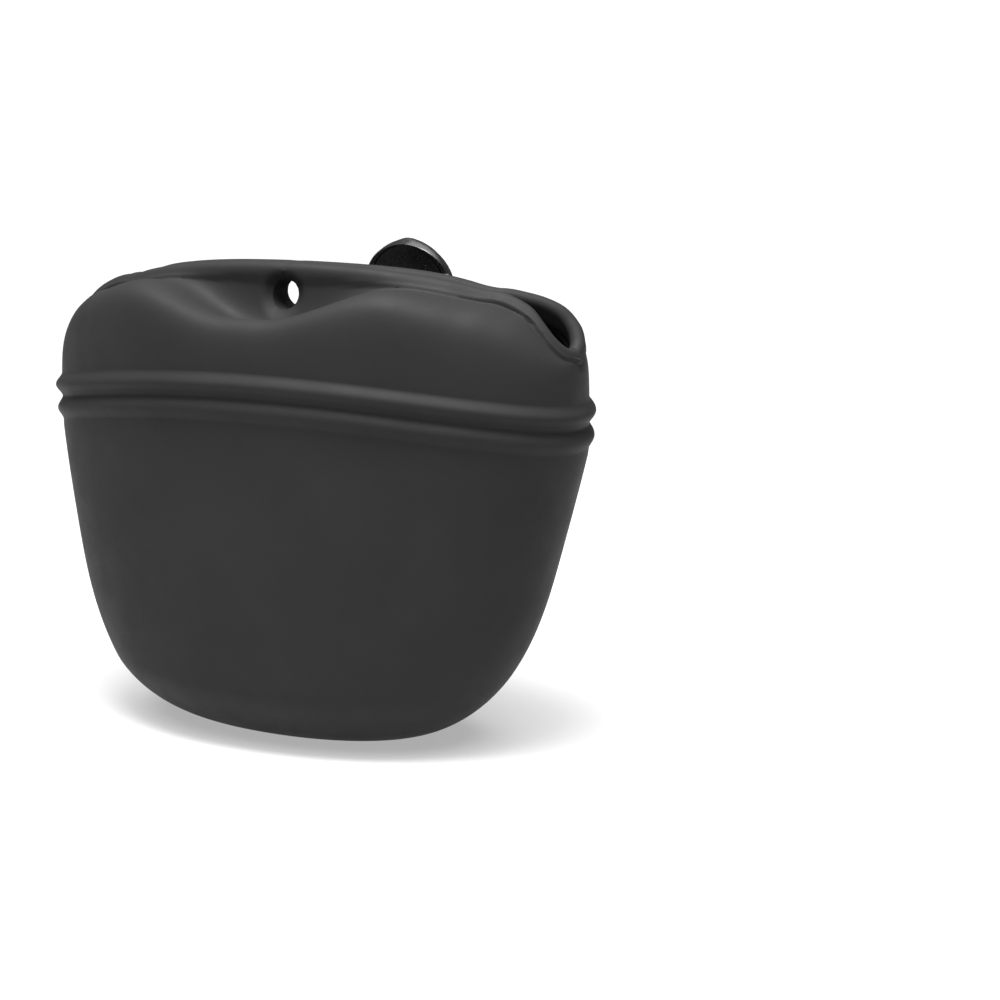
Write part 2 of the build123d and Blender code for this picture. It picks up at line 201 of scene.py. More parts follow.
# Grid of the moulding's meshes
COLUMNS = 400
COLUMN_CROWDING = 0.125
LOW_ROWS, TOP_ROWS = 70, 64
RIB_ROWS = 21
CAP_ROWS = 11
CLIMB_POWER = 1.6              # crowds the lower rows at the base
JOIN_POWER = 6                 # the cup's inside meets the shoulder's inside in its highest rows


# ------------------------------------------------------------------ small tools
def smoothstep(x, low, high):
    """0 below the low end, 1 above the high end and smooth between them."""
    t = np.clip((x - low) / (high - low), 0, 1)
    return t * t * (3 - 2 * t)


def unit(v):
    """The directions of some vectors."""
    return v / np.maximum(np.linalg.norm(v, axis=-1, keepdims=True), 1e-9)


def spline(control, samples):
    """Clamped cubic B-spline through control rows (n, ...), at samples in 0..1."""
    control = np.asarray(control, float)
    count = len(control)
    knots = np.concatenate([np.zeros(3), np.linspace(0, 1, count - 2), np.ones(3)])
    samples = np.clip(np.asarray(samples, float), 0, 1 - 1e-9)
    basis = [((knots[i] <= samples) & (samples < knots[i + 1])).astype(float) for i in range(count + 3)]
    for degree in (1, 2, 3):
        raised = []
        for i in range(count + 3 - degree):
            left = knots[i + degree] - knots[i]
            right = knots[i + degree + 1] - knots[i + 1]
            term = np.zeros_like(samples)
            if left > 0:
                term = term + (samples - knots[i]) / left * basis[i]
            if right > 0:
                term = term + (knots[i + degree + 1] - samples) / right * basis[i + 1]
            raised.append(term)
        basis = raised
    weights = np.array(basis)
    return np.tensordot(weights.T, control, axes=1)


def through(points, knots, samples):
    """Smooth curve that passes through the points at the knots."""
    points, knots = np.asarray(points, float), np.asarray(knots, float)
    steps = np.diff(knots)[:, None]
    slopes = np.diff(points, axis=0) / steps
    inner = (slopes[:-1] * steps[1:] + slopes[1:] * steps[:-1]) / (steps[1:] + steps[:-1])
    tangents = np.vstack([slopes[:1], inner, slopes[-1:]])
    k = np.clip(np.searchsorted(knots, samples, side="right") - 1, 0, len(knots) - 2)
    t = ((samples - knots[k]) / steps[k, 0])[:, None]
    span = steps[k]
    start = (2 * t**3 - 3 * t**2 + 1) * points[k] + (t**3 - 2 * t**2 + t) * span * tangents[k]
    return start + (3 * t**2 - 2 * t**3) * points[k + 1] + (t**3 - t**2) * span * tangents[k + 1]


class Shell:
    """Vertices and faces of one closed mesh, put together from rows of points."""

    def __init__(self):
        self.points = []
        self.faces = []
        self.count = 0

    def row(self, points):
        """Adds one row of points and returns their numbers."""
        points = np.asarray(points, float).reshape(-1, 3)
        first = self.count
        self.points.append(points)
        self.count += len(points)
        return np.arange(first, self.count)

    def bridge(self, low, high, closed):
        """Quads between two rows of the same length."""
        last = len(low) if closed else len(low) - 1
        for i in range(last):
            j = (i + 1) % len(low)
            self.faces.append((low[i], low[j], high[j], high[i]))

    def fan(self, ring, centre):
        """Triangles from a closed ring to one point."""
        tip = self.row(centre)[0]
        for i in range(len(ring)):
            self.faces.append((ring[i], ring[(i + 1) % len(ring)], tip))

    def mesh(self, name):
        """A Blender object, in metres, with its faces turned outwards."""
        data = bpy.data.meshes.new(name)
        faces = [tuple(map(int, face)) for face in self.faces]
        data.from_pydata((np.vstack(self.points) * MM).tolist(), [], faces)
        work = bmesh.new()
        work.from_mesh(data)
        bmesh.ops.remove_doubles(work, verts=work.verts, dist=1e-6)
        bmesh.ops.recalc_face_normals(work, faces=work.faces)
        work.to_mesh(data)
        work.free()
        piece = bpy.data.objects.new(name, data)
        bpy.context.collection.objects.link(piece)
        return piece


def tube(name, rings):
    """A closed solid through rings of points, with flat ends."""
    shell = Shell()
    rows = [shell.row(ring) for ring in rings]
    for low, high in zip(rows, rows[1:]):
        shell.bridge(low, high, closed=True)
    for row in (rows[0], rows[-1]):
        shell.faces.append(tuple(row))
    return shell.mesh(name)


def apply_modifiers(piece):
    """Replaces the mesh by what its modifiers make of it."""
    bpy.context.view_layer.update()
    shown = piece.evaluated_get(bpy.context.evaluated_depsgraph_get())
    data = bpy.data.meshes.new_from_object(shown)
    piece.modifiers.clear()
    piece.data = data


def cut(piece, *tools):
    """Takes the tools' solids out of the piece and deletes them."""
    for tool in tools:
        modifier = piece.modifiers.new("cut", "BOOLEAN")
        modifier.operation = "DIFFERENCE"
        modifier.solver = "EXACT"
        modifier.object = tool
        apply_modifiers(piece)
        bpy.data.objects.remove(tool)


def shade(piece, degrees=42):
    """Smooth shading that keeps edges sharper than the angle."""
    data = piece.data
    work = bmesh.new()
    work.from_mesh(data)
    limit = radians(degrees)
    for face in work.faces:
        face.smooth = True
    for edge in work.edges:
        edge.smooth = not (len(edge.link_faces) == 2 and edge.calc_face_angle(0) > limit)
    work.to_mesh(data)
    work.free()


def prism(name, profile, half_width):
    """A solid along X from an outline of (y, z) points."""
    return tube(name, [[(x, y, z) for y, z in profile] for x in (-half_width, half_width)])


def rod(name, centre, radius, half_length, axis, segments=96):
    """A plain cutter cylinder along X or Y."""
    turn = np.linspace(0, 2 * pi, segments, endpoint=False)
    order = {"x": (0, 1, 2), "y": (1, 0, 2)}[axis]
    rings = []
    for along in (-half_length, half_length):
        flat = (np.full(segments, along), radius * np.cos(turn), radius * np.sin(turn))
        rings.append(np.array(centre) + np.stack([flat[k] for k in order], axis=1))
    return tube(name, rings)


# ------------------------------------------------------------------ silicone moulding
def column_turns():
    """Angles round the pouch, closer together at the notches and in the middle."""
    even = np.linspace(0, 2 * pi, COLUMNS, endpoint=False)
    return even - COLUMN_CROWDING * np.sin(4 * even)


TURN = column_turns()
COS, SIN = np.cos(TURN), np.sin(TURN)
PLAN_X = np.sign(COS) * np.abs(COS) ** PLAN_POWER
PLAN_Y = np.sign(SIN) * np.abs(SIN) ** PLAN_POWER
GROOVE = GROOVE_Z + GROOVE_ARCH * (1 - PLAN_X**2)
REAR = SIN > 0


def plan_normals():
    """Horizontal outward directions of the wall."""
    x, y = HALF_X * PLAN_X, HALF_Y * PLAN_Y
    dx = np.roll(x, -1) - np.roll(x, 1)
    dy = np.roll(y, -1) - np.roll(y, 1)
    return unit(np.stack([dy, -dx, np.zeros(COLUMNS)], axis=1))


OUTWARD = plan_normals()


def wall_ring(z):
    """The wall at a height given for each column, before ribs and strap."""
    below = np.clip(1 - z / TAPER_Z, 0, 1)
    side = (1 - np.clip(1 - z / SIDE_Z, 0, 1) ** SIDE_POWER) ** (1 / SIDE_POWER)
    front = (1 - np.clip(1 - z / FRONT_Z, 0, 1) ** FRONT_POWER) ** (1 / FRONT_POWER)
    half_x = HALF_X * (1 - TAPER_X * below**TAPER_X_POWER) * (BASE_X + (1 - BASE_X) * side)
    half_y = HALF_Y * (1 - TAPER_Y * below**TAPER_Y_POWER) * (BASE_Y + (1 - BASE_Y) * front)
    middle = -LEAN * (1 - np.clip(z / TAPER_Z, 0, 1) ** LEAN_POWER)
    return np.stack([half_x * PLAN_X, middle + half_y * PLAN_Y, z + 0 * PLAN_X], axis=1)


def mouth_line(x):
    """Where the lips meet, at a distance from the middle."""
    return -MOUTH_BOW * np.clip(1 - (x / MOUTH_HALF) ** 2, 0, 1)


def mouth_curve():
    """Inner edge of the mouth for each column, its outward direction and the rim's thickness."""
    x = NOTCH_X * PLAN_X
    side = np.where(REAR, 1.0, -1.0)
    inner = np.minimum(np.abs(x), LIP_HALF) / EDGE_HALF
    top = LIP_TOP - LIP_DROP * inner**2 - LIP_DROP_END * inner**6
    lips = np.stack([x, mouth_line(x) + side * LIP_GAP, top], axis=1)
    turn = smoothstep(np.abs(x), *RIM_TURN)
    way = unit(OUTWARD * np.stack([turn, np.ones(COLUMNS), np.zeros(COLUMNS)], axis=1))
    thick = LIP_THICK + (RIM_THICK - LIP_THICK) * smoothstep(np.abs(x), *RIM_THIN)
    share = np.clip((np.abs(x) - LIP_HALF) / (NOTCH_X - LIP_HALF), 0, 1)
    rims = []
    for rows in (NOTCH_FRONT, NOTCH_REAR):
        rows = np.array(rows, float)
        rims.append(through(rows[:, 1:], rows[:, 0], share))
    rim = np.where(REAR[:, None], rims[1], rims[0])
    rim[:, 0] *= np.sign(PLAN_X)
    rim -= way * thick[:, None] / 2
    rim[:, 2] += thick / 2
    blend = smoothstep(np.abs(x), LIP_HALF - NOTCH_BLEND, LIP_HALF + NOTCH_BLEND)[:, None]
    return lips * (1 - blend) + rim * blend, way, thick


def shoulder_rows(rows):
    """Outer surface from the upper rib's crease to the lip's edge: (rows, columns, 3)."""
    edge, way, thick = mouth_curve()
    foot = wall_ring(GROOVE + CREASE)
    top = edge + way * thick[:, None]
    top[:, 2] -= thick / 2
    span = np.linalg.norm((top - foot)[:, :2], axis=1)
    wide = np.maximum(span, SHOULDER_WIDTH)
    near = np.abs(edge[:, 0])
    scoop = 1 - np.where(REAR, smoothstep(near, *SCOOP_REAR_FADE), smoothstep(near, *SCOOP_FRONT_FADE))
    end = smoothstep(near, *END_FADE)
    hump = (1 - scoop) * (1 - end)

    def inwards(from_foot, from_edge):
        return [reach / wide for reach in from_foot] + [1 - reach / wide for reach in from_edge]

    def upwards(front, rear):
        return [np.where(REAR, high, low) for low, high in zip(front, rear)]

    def mixed(scoop_points, hump_points, end_points):
        profiles = zip(scoop_points, hump_points, end_points)
        return [scoop * a + hump * b + end * c for a, b, c in profiles]

    samples = np.linspace(0, 1, rows)
    across = spline(mixed(inwards(*SCOOP_IN), inwards(*HUMP_IN), END_IN), samples)
    upward = spline(mixed(upwards(*SCOOP_UP), upwards(*HUMP_UP), upwards(*END_UP)), samples)
    return foot[None] + (top - foot)[None] * np.stack([across, across, upward], axis=2)


def grid_normals(grid):
    """Outward normals of an open grid whose columns close round the pouch."""
    along = np.gradient(grid, axis=0)
    around = np.roll(grid, -1, axis=1) - np.roll(grid, 1, axis=1)
    return unit(np.cross(around, along))


def edge_distance(grid):
    """How far each point is from the edge, along its column."""
    steps = np.linalg.norm(np.diff(grid, axis=0), axis=2)
    return np.concatenate([np.cumsum(steps[::-1], axis=0)[::-1], np.zeros((1, COLUMNS))])


def add_bead(grid, normals, to_edge):
    """Thickens the last stretch before the edge into a rolled rim."""
    swell = 1 - smoothstep(to_edge, BEAD_WIDTH * BEAD_FULL, BEAD_WIDTH)
    reach = np.abs(grid[-1, :, 0])
    proud = BEAD + BEAD_NOTCH * smoothstep(reach, LIP_HALF - NOTCH_BLEND, LIP_HALF + BEAD_NOTCH_END)
    return grid + normals * (proud * swell)[..., None]


def add_dimple(grid):
    """Softens the hanging hole's outer edge."""
    reach = np.hypot(grid[..., 0], grid[..., 2] - HOLE_Z)
    depth = DIMPLE_DEPTH * (1 - smoothstep(reach, HOLE_R - DIMPLE_FLAT, DIMPLE_R))
    face = grid.copy()
    offset = grid[..., 1] + MOUTH_BOW
    face[..., 1] -= np.where(np.abs(offset) < DIMPLE_REACH, np.sign(offset) * depth, 0)
    return face


def strap_swell(points):
    """Pushes the rear wall out to the strap over the clip plate."""
    x, y, z = points[..., 0], points[..., 1], points[..., 2]
    across = 1 - smoothstep(np.abs(x), SLOT_HALF + SLOT_EDGE, STRAP_SHOULDER)
    below = smoothstep(z, STRAP_LOW - STRAP_FADE_BELOW[0], STRAP_LOW - STRAP_FADE_BELOW[1])
    above = smoothstep(z, STRAP_HIGH - STRAP_FADE_ABOVE[0], STRAP_HIGH + STRAP_FADE_ABOVE[1])
    target = PLATE_BACK + SLOT_CLEAR + STRAP_T
    lack = np.clip(target - y, 0, None)
    moved = points.copy()
    moved[..., 1] += np.where(y > REAR_Y, lack * across * (below * (1 - above)), 0)
    return moved


def rib_rows(level, proud):
    """One half-round rib round the whole pouch."""
    rows = []
    for v in np.linspace(-1, 1, RIB_ROWS):
        ring = wall_ring(GROOVE + level + RIB_HALF * v)
        swell = proud * (0.5 + 0.5 * cos(pi * v)) ** RIB_ROUNDNESS
        rows.append(ring + OUTWARD * swell)
    return rows


def inner_limit(grid):
    """Keeps the inside clear of the mouth line and of the clip's slot."""
    x, y, z = grid[..., 0], grid[..., 1], grid[..., 2]
    limited = grid.copy()
    line = mouth_line(x)
    pressed = (np.abs(x) < LIP_HALF - LIP_PRESS_END[1]) & (z > LIP_MEET_Z)
    front = pressed & ~REAR[None]
    rear = pressed & REAR[None]
    limited[..., 1] = np.where(front, np.minimum(y, line - LIP_GAP), limited[..., 1])
    limited[..., 1] = np.where(rear, np.maximum(y, line + LIP_GAP), limited[..., 1])
    backing = PLATE_FRONT - SLOT_CLEAR - WALL
    room = backing + BACKING_STEP * smoothstep(np.abs(x), *BACKING_WIDE)
    limited[..., 1] = np.where(y > REAR_Y, np.minimum(limited[..., 1], room), limited[..., 1])
    return limited


def press_lips(grid, to_edge):
    """Brings the inner faces of the two lips to the mouth line."""
    x, y = grid[..., 0], grid[..., 1]
    line = mouth_line(x)
    target = np.where(REAR, line + LIP_GAP, line - LIP_GAP)
    ends = 1 - smoothstep(np.abs(x), LIP_HALF - LIP_PRESS_END[0], LIP_HALF - LIP_PRESS_END[1])
    pressed = (1 - smoothstep(to_edge, *LIP_PRESS)) * ends
    moved = grid.copy()
    moved[..., 1] = y + (target - y) * pressed
    return moved


def moulding():
    """Cup with its rear lip, and the front shoulder with its lip, as two closed meshes."""
    # outer surface
    climb = np.linspace(0, 1, LOW_ROWS) ** CLIMB_POWER
    outer_low = np.array([wall_ring(s * (GROOVE - CREASE)) for s in climb])
    lower_rib = rib_rows(-RIB_HALF, RIB_PROUD * RIB_LOWER)
    upper_rib = rib_rows(RIB_HALF, RIB_PROUD * RIB_UPPER)
    plain_top = shoulder_rows(TOP_ROWS)
    normals = grid_normals(plain_top)
    to_edge = edge_distance(plain_top)
    outer_top = add_dimple(add_bead(plain_top, normals, to_edge))

    # inner surface
    thick = mouth_curve()[2]
    growth = smoothstep(np.linspace(0, 1, TOP_ROWS), *THICKENING)[:, None]
    depth = WALL + (thick[None] - WALL) * growth
    inner_top = press_lips(inner_limit(plain_top - normals * depth[..., None]), to_edge)

    share = np.clip((np.abs(NOTCH_X * PLAN_X) - LIP_HALF) / (NOTCH_X - LIP_HALF), 0, 1)
    sloped = smoothstep(to_edge, *FUNNEL_NEAR) * (1 - smoothstep(to_edge, *FUNNEL_FAR))
    inner_top[..., 1] -= FUNNEL * sloped * np.sin(pi * share) * REAR

    whole_wall = np.array([wall_ring(FLOOR + s * (GROOVE + CREASE - FLOOR)) for s in climb])
    inner_low = inner_limit(whole_wall - grid_normals(whole_wall) * WALL)
    inner_low[..., 2] = np.maximum(inner_low[..., 2], FLOOR)
    inner_low += (inner_top[0] - inner_low[-1])[None] * (climb**JOIN_POWER)[:, None, None]

    # rounded edge between the two
    outer_edge, inner_edge = outer_top[-1], inner_top[-1]
    middle = (outer_edge + inner_edge) / 2
    reach = outer_edge - middle
    radius = np.linalg.norm(reach, axis=1, keepdims=True)
    rise = unit(plain_top[-1] - plain_top[-3])
    rise = unit(rise - (rise * unit(reach)).sum(axis=1, keepdims=True) * unit(reach))
    turns = np.linspace(0, pi, CAP_ROWS)[1:-1]
    cap = np.array([middle + reach * cos(turn) + rise * radius * sin(turn) for turn in turns])

    full_rows = [strap_swell(row) for row in list(outer_low) + lower_rib[1:] + upper_rib[1:]]
    outer_top = strap_swell(outer_top)
    over = np.concatenate([outer_top, cap, inner_top[::-1]])

    wrap = np.arange(COLUMNS + 1) % COLUMNS
    half = COLUMNS // 2
    rear_columns = wrap[: half + 1]
    front_columns = wrap[half:]

    # the cup with the rear lip
    cup = Shell()
    rings = [cup.row(row) for row in full_rows[:-1]] + [cup.row(over[0])]
    for low, high in zip(rings, rings[1:]):
        cup.bridge(low, high, closed=True)
    cup.fan(rings[0], (0, 0, 0))
    inside = [cup.row(row) for row in inner_low[:-1]] + [cup.row(over[-1])]
    for low, high in zip(inside, inside[1:]):
        cup.bridge(low, high, closed=True)
    cup.fan(inside[0], (0, 0, FLOOR))
    strips = [rings[-1][rear_columns]] + [cup.row(row[rear_columns]) for row in over[1:-1]]
    strips.append(inside[-1][rear_columns])
    for low, high in zip(strips, strips[1:]):
        cup.bridge(low, high, closed=False)
    cup.bridge(rings[-1][front_columns], inside[-1][front_columns], closed=False)
    close_ends(cup, strips)

    # the front shoulder and lip
    flap = Shell()
    strips = [flap.row(row[front_columns]) for row in over]
    for low, high in zip(strips, strips[1:]):
        flap.bridge(low, high, closed=False)
    flap.bridge(strips[-1], strips[0], closed=False)
    close_ends(flap, strips)
    return cup.mesh("cup_and_rear_lip"), flap.mesh("front_shoulder_and_lip")


def close_ends(shell, strips):
    """Closes the two cut ends of a wall by joining its outer rows to its inner rows."""
    count = len(strips)
    for end in (0, -1):
        for k in range(count // 2 - 1):
            low, high = strips[k], strips[k + 1]
            high_inside, low_inside = strips[-k - 2], strips[-k - 1]
            shell.faces.append((low[end], high[end], high_inside[end], low_inside[end]))
        if count % 2:
            k = count // 2
            shell.faces.append((strips[k - 1][end], strips[k][end], strips[k + 1][end]))


cup, flap = moulding()
hole_middle = (0, -MOUTH_BOW, HOLE_Z)
recess_low = plate_low[2] - SLOT_BELOW
slot_front, slot_back = PLATE_FRONT - SLOT_CLEAR, PLATE_BACK + SLOT_CLEAR
channel = (
    (slot_front, recess_low),
    (slot_front, BEYOND_Z),
    (BEYOND_Y, BEYOND_Z),
    (BEYOND_Y, STRAP_HIGH),
    (slot_back, STRAP_HIGH),
    (slot_back, STRAP_LOW),
    (BEYOND_Y, STRAP_LOW),
    (BEYOND_Y, recess_low),
)
cut(
    cup,
    rod("bore_cutter", hole_middle, HOLE_R, BORE_HALF, "y"),
    prism("channel_cutter", channel, SLOT_HALF),
)
cut(flap, rod("bore_cutter", hole_middle, HOLE_R, BORE_HALF, "y"))
for piece in (cup, flap):
    shade(piece)

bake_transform(flap)
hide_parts("front_lip")
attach(cup, "pouch")
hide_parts("cup_body")


# ------------------------------------------------------------------ magnets in the lips
DISC_HALF = 1.0                # half of a magnet's thickness
DISC_SIDES = 48
# outline of a magnet's edge: depth as a share of DISC_HALF, radius as a share of the full radius
DISC_EDGE = ((-1, 0.93), (-0.9, 1.0), (0.9, 1.0), (1, 0.93))


def disc(name, node):
    """A magnet of the front lip, turned to follow the curve of the mouth line."""
    low, high = node_box(node)
    centre = (low + high) / 2
    slope = 2 * MOUTH_BOW * centre[0] / MOUTH_HALF**2
    across = unit(np.array([1.0, slope, 0.0]))
    normal = unit(np.array([-slope, 1.0, 0.0]))
    upwards = np.array([0, 0, 1.0])
    full_radius = (high[2] - low[2]) / 2
    rings = []
    for depth, share in DISC_EDGE:
        radius = full_radius * share
        ring = []
        for turn in np.linspace(0, 2 * pi, DISC_SIDES, endpoint=False):
            side = across * radius * cos(turn)
            ring.append(centre + side + normal * DISC_HALF * depth + upwards * radius * sin(turn))
        rings.append(ring)
    piece = tube(name, rings)
    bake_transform(piece)
    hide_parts(node)
    return piece


front_discs = [disc(node + "_disc", node) for node in ("magnet_front_left", "magnet_front_right")]


# ------------------------------------------------------------------ belt clip
PIN_Y, PIN_Z = ((pin_low + pin_high) / 2)[1:]
PIN_HOLE_R = 1.55
PIN_CUT_HALF = 20.0            # half length of its cutter
PLASTIC_EDGE = 35              # edges of the clip sharper than this stay sharp, in degrees
# Side outlines of the lever as (y, height), from the pad's top edge to the hook's tip
LEVER_OUTER = (
    (39.0, 97.5),
    (40.8, 90),
    (40.8, 81),
    (38.5, 55),
    (37.4, 42),
    (36.0, 34.9),
    (33.4, 32.6),
    (29.75, 33.5),
)
LEVER_INNER = (
    (36.9, 96.4),
    (38.4, 90),
    (38.4, 81),
    (36.1, 55),
    (35.0, 42),
    (33.9, 37.6),
    (32.2, 35.6),
    (29.75, 35.7),
)
# Half width of the lever below the pad, as (height, half width)
LEVER_HALF = (
    (100, 0.9),
    (87, 10.8),
    (79, 10.7),
    (73, 10.0),
    (66, 9.2),
    (55, 8.7),
    (45, 7.9),
    (40, 7.5),
    (32, 6.2),
)
PAD_MIDDLE, PAD_HIGH, PAD_WIDE = 86.8, 10.7, 10.8  # the pad ends in half an ellipse above this middle
PAD_TIP = 0.5                  # half width of its very tip
# Free edge of the two side flanges, as (height, y)
FLANGE = (
    (36, 33.2),
    (40, 34.4),
    (55, 35.0),
    (62, 36.0),
    (73, 36.6),
    (76, 35.6),
    (78, 33.0),
    (79, 32.0),
    (80.5, 31.2),
    (82, 30.9),
    (83.5, 31.2),
    (85, 32.0),
    (86.5, 34.0),
    (88, 36.2),
    (90, 38.2),
    (92, 39.5),
    (98, 39.5),
)
FLANGE_T = 1.8
FLANGE_END_Y, FLANGE_END_Z = 34.0, 36.0  # there are no flanges on the hook below and in front of these
LEVER_CORNER, FLANGE_CORNER = 0.8, 0.4
# Where the lever is narrow: the flange's share of its half width, the corner's, and the flange
# corner's share of the flange
NARROW_FLANGE, NARROW_CORNER, NARROW_TIP = 0.45, 0.3, 0.4
INNER_CHAMFER = 0.1            # between a flange and the underside
ROUND_Z, ROUND_HIGH = 38.5, 7.6    # the lower end rounds off below this height
# Relief of the lever's back: rim and crescents of the pad, crease below it and the sunk panel
CRESCENTS = ((95.0, 93.0, 5.8), (91.9, 89.8, 6.7), (88.9, 86.0, 7.5))  # apex, ends, half width
CRESCENT_T, CRESCENT_PROUD = 1.5, 0.6
CRESCENT_TIP = 0.05            # half thickness at its two tips
CRESCENT_ROUNDNESS = 0.6       # below 1 makes a ridge fuller than a parabola
PAD_START = (81.0, 83.0)
PAD_RIM, PAD_RIM_FADE = 0.4, (0.5, 1.1)
CREASE_Z, CREASE_BOW, CREASE_DEEP, CREASE_T = 80.4, 0.010, 0.55, 0.55
PANEL_DEEP = 1.25
PANEL_SIDE = (3.0, 2.0)        # its sides slope between these distances from the lever's edges
PANEL_LOW, PANEL_HIGH = (38.6, 40.4), (52.0, 68.0)
LEVER_FACE_POINTS = 57
PAD_RINGS, SHAFT_RINGS = 100, 110
PAD_CROWDING = 1.9             # crowds the rings at the pad's top
PAD_RINGS_PAST = 2.0           # the crowded rings end this far past the outline's third point


def table(rows, at):
    """Value at a height from (height, value) rows."""
    rows = sorted(rows)
    return np.interp(at, [row[0] for row in rows], [row[1] for row in rows])


def dip(distance, width):
    """A smooth groove's share of its depth at a distance from its middle."""
    return np.exp(-((distance / width) ** 2))


def crescent_relief(x, z, crescents, thick, height):
    """Raised crescent ridges: apex height, end height and half width of each."""
    relief = np.zeros_like(x)
    for apex, end, half in crescents:
        inside = np.clip(1 - (x / half) ** 2, 0, 1)
        middle = apex - (apex - end) * (x / half) ** 2
        half_thick = 0.5 * thick * np.sqrt(inside) + CRESCENT_TIP
        across = np.clip(1 - ((z - middle) / half_thick) ** 2, 0, 1)
        relief = np.maximum(relief, height * across**CRESCENT_ROUNDNESS * (inside > 0))
    return relief


def lever_relief(x, z, half):
    """How far the lever's back face stands out from its smooth shape."""
    pad_reach = np.sqrt((x / PAD_WIDE) ** 2 + (np.clip(z - PAD_MIDDLE, 0, None) / PAD_HIGH) ** 2)
    on_pad = smoothstep(z, *PAD_START)
    rim = PAD_RIM * (1 - smoothstep((1 - pad_reach) * PAD_HIGH, *PAD_RIM_FADE)) * on_pad
    ridges = crescent_relief(x, z, CRESCENTS, CRESCENT_T, CRESCENT_PROUD)
    crease = -CREASE_DEEP * dip(z - CREASE_Z + CREASE_BOW * x**2, CREASE_T)
    side = 1 - smoothstep(np.abs(x), half - PANEL_SIDE[0], half - PANEL_SIDE[1])
    panel = smoothstep(z, *PANEL_LOW) * (1 - smoothstep(z, *PANEL_HIGH))
    return rim + ridges + crease - PANEL_DEEP * side * panel


def lever_half_width(z):
    """Half width of the lever at a height, with its rounded upper and lower ends."""
    half = table(LEVER_HALF, z)
    if z > PAD_MIDDLE:
        half = max(PAD_TIP, PAD_WIDE * np.sqrt(max(0.0, 1 - ((z - PAD_MIDDLE) / PAD_HIGH) ** 2)))
    if z < ROUND_Z:
        half *= np.sqrt(1 - ((ROUND_Z - z) / ROUND_HIGH) ** 2)
    return half


def lever_outline(z, half, depth, flange):
    """Cross-section of the lever: (x, depth below the back face) once round."""
    wall = min(FLANGE_T, half * NARROW_FLANGE)
    corner = min(LEVER_CORNER, half * NARROW_CORNER)
    tip = min(FLANGE_CORNER, wall * NARROW_TIP)
    face = np.linspace(-1, 1, LEVER_FACE_POINTS) * (half - corner)
    relief = lever_relief(face, np.full_like(face, z), half)
    turns = np.linspace(0, pi / 2, 5)[1:]
    side = [(half - corner * (1 - sin(turn)), corner * (1 - cos(turn))) for turn in turns]
    side += [
        (half, flange - tip),
        (half - tip, flange),
        (half - wall + tip, flange),
        (half - wall, flange - tip),
        (half - wall, depth),
        (half - wall - INNER_CHAMFER, depth),
    ]
    return [(x, -h) for x, h in zip(face, relief)] + side + [(-x, d) for x, d in reversed(side)]


def clip_lever():
    """Thumb lever: a channel that ends in a hook, with a ridged pad at the top."""
    outer, inner = np.array(LEVER_OUTER, float), np.array(LEVER_INNER, float)
    knots = np.concatenate([[0], np.cumsum(np.linalg.norm(np.diff(outer, axis=0), axis=1))])
    pad_end = knots[2] + PAD_RINGS_PAST
    on_pad = pad_end * np.linspace(0, 1, PAD_RINGS) ** PAD_CROWDING
    samples = np.concatenate([on_pad, np.linspace(pad_end, knots[-1], SHAFT_RINGS)[1:]])
    rings = []
    for (y, z), (in_y, in_z) in zip(through(outer, knots, samples), through(inner, knots, samples)):
        depth = np.hypot(in_y - y, in_z - z)
        way_y, way_z = np.array([in_y - y, in_z - z]) / depth
        flange = depth
        if z > FLANGE_END_Z and y > FLANGE_END_Y:
            flange = max(depth, y - table(FLANGE, z))
        outline = lever_outline(z, lever_half_width(z), depth, flange)
        rings.append([(x, y + way_y * d, z + way_z * d) for x, d in outline])
    return tube("thumb_lever", rings)


PLATE_HALF = (plate_high[0] - plate_low[0]) / 2
PLATE_CORNER = 9.0
PLATE_EDGE, PLATE_EDGE_DEEP = 0.3, 0.35    # chamfer along the plate's outline
PLATE_LINE, PLATE_LINE_IN, PLATE_LINE_T = 0.3, 1.7, 0.35   # groove that follows the outline
PLATE_CRESCENTS = ((56.5, 54.0, 8.2), (53.4, 50.8, 8.2), (50.3, 47.6, 8.0), (47.2, 44.4, 7.8))
PLATE_CRESCENT_T, PLATE_CRESCENT_PROUD = 1.3, 0.22
PLATE_BACK_POINTS, PLATE_FRONT_POINTS = 41, 9
CORNER_RINGS, STRAIGHT_RINGS = 24, 120
EAR_X, EAR_HALF, EAR_R = 7.0, 1.0, 2.9
EAR_ARC, EAR_POINTS = (-pi * 0.42, pi * 0.5), 24   # round part of an ear's outline
EAR_SINK = 0.3                 # the ears' feet reach this far into the plate
EAR_SLOPE, EAR_LIFT = 2.0, 0.2     # the foot's upper and lower corner, seen from the eye


def plate_relief(x, z, half, from_end):
    """Rim line and the ridges under the lever's lower end."""
    to_edge = np.minimum(half - np.abs(x), from_end)
    line = -PLATE_LINE * dip(to_edge - PLATE_LINE_IN, PLATE_LINE_T)
    return line + crescent_relief(x, z, PLATE_CRESCENTS, PLATE_CRESCENT_T, PLATE_CRESCENT_PROUD)


